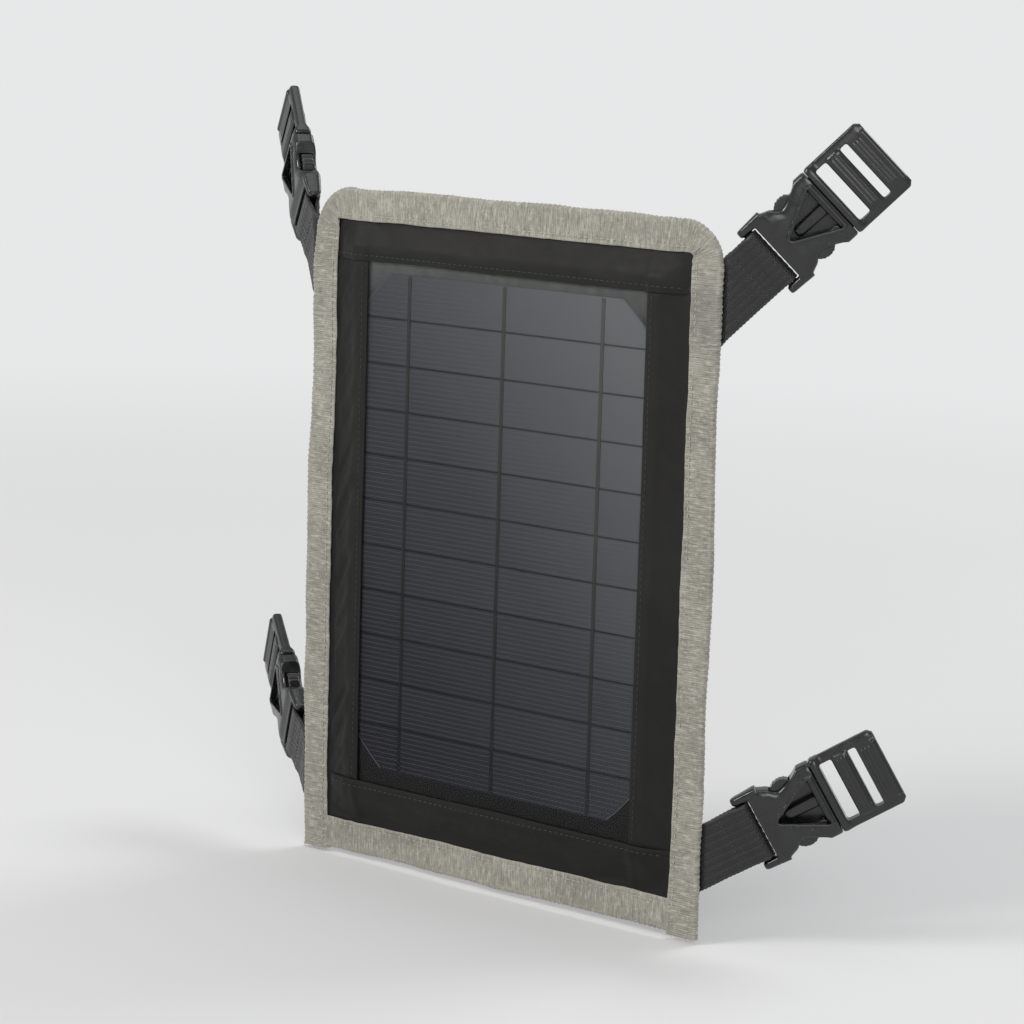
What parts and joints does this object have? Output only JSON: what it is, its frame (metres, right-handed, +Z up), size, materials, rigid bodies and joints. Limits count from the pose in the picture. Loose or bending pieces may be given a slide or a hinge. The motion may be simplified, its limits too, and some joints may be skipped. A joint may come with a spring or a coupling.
{
  "type": "portable solar panel",
  "caption": "Small crystalline solar laminate sewn in a tape-bound fabric frame, with webbing tabs and side-release buckles at the corners and a USB regulator box behind.",
  "frame": {"origin": "centre of the regulator box's flat rear face, which lies on the panel's middle in width and height", "axes": "+X to the right seen from the front, +Z up, -Y out of the sunlit face"},
  "size_m": [0.3562, 0.0543, 0.3362],
  "materials": {
    "cell_silicon": "dark blue-black anti-reflection coated monocrystalline silicon with fine screen-printed fingers",
    "tinned_ribbon": "dull tinned copper ribbon",
    "front_film": "semi-gloss, lightly frosted polyester film",
    "laminate_board": "black glass-fibre board",
    "foam": "closed-cell foam",
    "black_cloth": "black plain-weave nylon pack cloth, matt",
    "grey_tape": "warm grey ribbed binding tape",
    "black_webbing": "black polypropylene webbing, close ribbed weave",
    "black_acetal": "black moulded acetal, satin with polished edges",
    "black_abs": "black fine-textured moulded plastic",
    "black_rubber": "soft matt rubber",
    "screw_steel": "zinc-plated",
    "tin_plate": "tin-plated pressed shell",
    "white_insulator": "white moulded insulator",
    "circuit_board": "green solder mask",
    "ferrite": "sintered ferrite",
    "capacitor_can": "drawn aluminium can",
    "led_lens": "red diffused lens",
    "lead_wire": "bare tinned copper wire"
  },
  "bodies": {
    "panel": {"cell_strips": "cell_silicon", "tab_ribbons": "tinned_ribbon", "front_film": "front_film", "laminate_board": "laminate_board", "foam_pad": "foam", "back_cover": "black_cloth", "border_top": "black_cloth", "border_bottom": "black_cloth", "border_left": "black_cloth", "border_right": "black_cloth", "binding_sides": "grey_tape", "binding_bottom": "grey_tape", "reg_box_base": "black_abs", "reg_box_lid": "black_abs", "lid_screws": "screw_steel", "regulator_board": "circuit_board", "usb_socket": "tin_plate", "usb_tongue": "white_insulator", "inductor": "ferrite", "capacitor": "capacitor_can", "regulator_chip": "black_abs", "indicator_led": "led_lens", "lead_positive": "lead_wire", "lead_negative": "lead_wire", "tab_anchor_upper_right": "black_webbing", "tab_anchor_upper_left": "black_webbing", "tab_anchor_lower_right": "black_webbing", "tab_anchor_lower_left": "black_webbing"},
    "port_flap_body": {"port_flap": "black_rubber"},
    "tab_upper_right": {"tab_loop_upper_right": "black_webbing"},
    "socket_body_upper_right": {"socket_upper_right": "black_acetal"},
    "plug_body_upper_right": {"plug_upper_right": "black_acetal"},
    "arm_in_body_upper_right": {"arm_in_upper_right": "black_acetal"},
    "arm_out_body_upper_right": {"arm_out_upper_right": "black_acetal"},
    "tab_upper_left": {"tab_loop_upper_left": "black_webbing"},
    "socket_body_upper_left": {"socket_upper_left": "black_acetal"},
    "plug_body_upper_left": {"plug_upper_left": "black_acetal"},
    "arm_in_body_upper_left": {"arm_in_upper_left": "black_acetal"},
    "arm_out_body_upper_left": {"arm_out_upper_left": "black_acetal"},
    "tab_lower_right": {"tab_loop_lower_right": "black_webbing"},
    "socket_body_lower_right": {"socket_lower_right": "black_acetal"},
    "plug_body_lower_right": {"plug_lower_right": "black_acetal"},
    "arm_in_body_lower_right": {"arm_in_lower_right": "black_acetal"},
    "arm_out_body_lower_right": {"arm_out_lower_right": "black_acetal"},
    "tab_lower_left": {"tab_loop_lower_left": "black_webbing"},
    "socket_body_lower_left": {"socket_lower_left": "black_acetal"},
    "plug_body_lower_left": {"plug_lower_left": "black_acetal"},
    "arm_in_body_lower_left": {"arm_in_lower_left": "black_acetal"},
    "arm_out_body_lower_left": {"arm_out_lower_left": "black_acetal"}
  },
  "joints": [
    {"name": "port_flap_hinge", "type": "hinge", "parent": "panel", "child": "port_flap_body", "pos_m": [0.009, -0.0011, -0.02015], "axis": [1, 0, 0], "range_deg": [0, 110]},
    {"name": "fold_upper_right", "type": "hinge", "parent": "panel", "child": "tab_upper_right", "pos_m": [0.111, -0.0089, 0.118], "axis": [0, 0, 1], "range_deg": [-90, 45]},
    {"name": "swivel_upper_right", "type": "hinge", "parent": "tab_upper_right", "child": "socket_body_upper_right", "pos_m": [0.12374, 0.00002, 0.13356], "axis": [-0.5792, -0.4056, 0.7071], "range_deg": [-90, 90]},
    {"name": "plug_slide_upper_right", "type": "slide", "parent": "socket_body_upper_right", "child": "plug_body_upper_right", "axis": [0.5792, 0.4056, 0.7071], "range_m": [0, 0.03], "deforming": ["arm_in_upper_right", "arm_out_upper_right"]},
    {"name": "squeeze_in_upper_right", "type": "hinge", "parent": "plug_body_upper_right", "child": "arm_in_body_upper_right", "pos_m": [0.14483, 0.01479, 0.14628], "axis": [-0.5736, 0.8192, 0], "range_deg": [0, 12]},
    {"name": "squeeze_out_upper_right", "type": "hinge", "parent": "plug_body_upper_right", "child": "arm_out_body_upper_right", "pos_m": [0.13417, 0.00732, 0.15929], "axis": [-0.5736, 0.8192, 0], "range_deg": [-12, 0]},
    {"name": "fold_upper_left", "type": "hinge", "parent": "panel", "child": "tab_upper_left", "pos_m": [-0.111, -0.0089, 0.118], "axis": [0, 0, -1], "range_deg": [-90, 45]},
    {"name": "swivel_upper_left", "type": "hinge", "parent": "tab_upper_left", "child": "socket_body_upper_left", "pos_m": [-0.12374, 0.00002, 0.13356], "axis": [-0.5792, 0.4056, -0.7071], "range_deg": [-90, 90]},
    {"name": "plug_slide_upper_left", "type": "slide", "parent": "socket_body_upper_left", "child": "plug_body_upper_left", "axis": [-0.5792, 0.4056, 0.7071], "range_m": [0, 0.03], "deforming": ["arm_in_upper_left", "arm_out_upper_left"]},
    {"name": "squeeze_in_upper_left", "type": "hinge", "parent": "plug_body_upper_left", "child": "arm_in_body_upper_left", "pos_m": [-0.14483, 0.01479, 0.14628], "axis": [-0.5736, -0.8192, 0], "range_deg": [0, 12]},
    {"name": "squeeze_out_upper_left", "type": "hinge", "parent": "plug_body_upper_left", "child": "arm_out_body_upper_left", "pos_m": [-0.13417, 0.00732, 0.15929], "axis": [-0.5736, -0.8192, 0], "range_deg": [-12, 0]},
    {"name": "fold_lower_right", "type": "hinge", "parent": "panel", "child": "tab_lower_right", "pos_m": [0.111, -0.0089, -0.113], "axis": [0, 0, 1], "range_deg": [-90, 45]},
    {"name": "swivel_lower_right", "type": "hinge", "parent": "tab_lower_right", "child": "socket_body_lower_right", "pos_m": [0.12661, 0.00203, -0.102], "axis": [-0.4096, -0.2868, 0.866], "range_deg": [-90, 90]},
    {"name": "plug_slide_lower_right", "type": "slide", "parent": "socket_body_lower_right", "child": "plug_body_lower_right", "axis": [0.7094, 0.4967, 0.5], "range_m": [0, 0.03], "deforming": ["arm_in_lower_right", "arm_out_lower_right"]},
    {"name": "squeeze_in_lower_right", "type": "hinge", "parent": "plug_body_lower_right", "child": "arm_in_body_lower_right", "pos_m": [0.14967, 0.01818, -0.09637], "axis": [-0.5736, 0.8192, 0], "range_deg": [0, 12]},
    {"name": "squeeze_out_lower_right", "type": "hinge", "parent": "plug_body_lower_right", "child": "arm_out_body_lower_right", "pos_m": [0.14213, 0.0129, -0.08043], "axis": [-0.5736, 0.8192, 0], "range_deg": [-12, 0]},
    {"name": "fold_lower_left", "type": "hinge", "parent": "panel", "child": "tab_lower_left", "pos_m": [-0.111, -0.0089, -0.113], "axis": [0, 0, -1], "range_deg": [-90, 45]},
    {"name": "swivel_lower_left", "type": "hinge", "parent": "tab_lower_left", "child": "socket_body_lower_left", "pos_m": [-0.12661, 0.00203, -0.102], "axis": [-0.4096, 0.2868, -0.866], "range_deg": [-90, 90]},
    {"name": "plug_slide_lower_left", "type": "slide", "parent": "socket_body_lower_left", "child": "plug_body_lower_left", "axis": [-0.7094, 0.4967, 0.5], "range_m": [0, 0.03], "deforming": ["arm_in_lower_left", "arm_out_lower_left"]},
    {"name": "squeeze_in_lower_left", "type": "hinge", "parent": "plug_body_lower_left", "child": "arm_in_body_lower_left", "pos_m": [-0.14967, 0.01818, -0.09637], "axis": [-0.5736, -0.8192, 0], "range_deg": [0, 12]},
    {"name": "squeeze_out_lower_left", "type": "hinge", "parent": "plug_body_lower_left", "child": "arm_out_body_lower_left", "pos_m": [-0.14213, 0.0129, -0.08043], "axis": [-0.5736, -0.8192, 0], "range_deg": [-12, 0]}
  ],
  "couplings": [
    {"joint": "squeeze_out_upper_right", "follows": "squeeze_in_upper_right", "ratio": -1},
    {"joint": "squeeze_out_upper_left", "follows": "squeeze_in_upper_left", "ratio": -1},
    {"joint": "squeeze_out_lower_right", "follows": "squeeze_in_lower_right", "ratio": -1},
    {"joint": "squeeze_out_lower_left", "follows": "squeeze_in_lower_left", "ratio": -1}
  ]
}
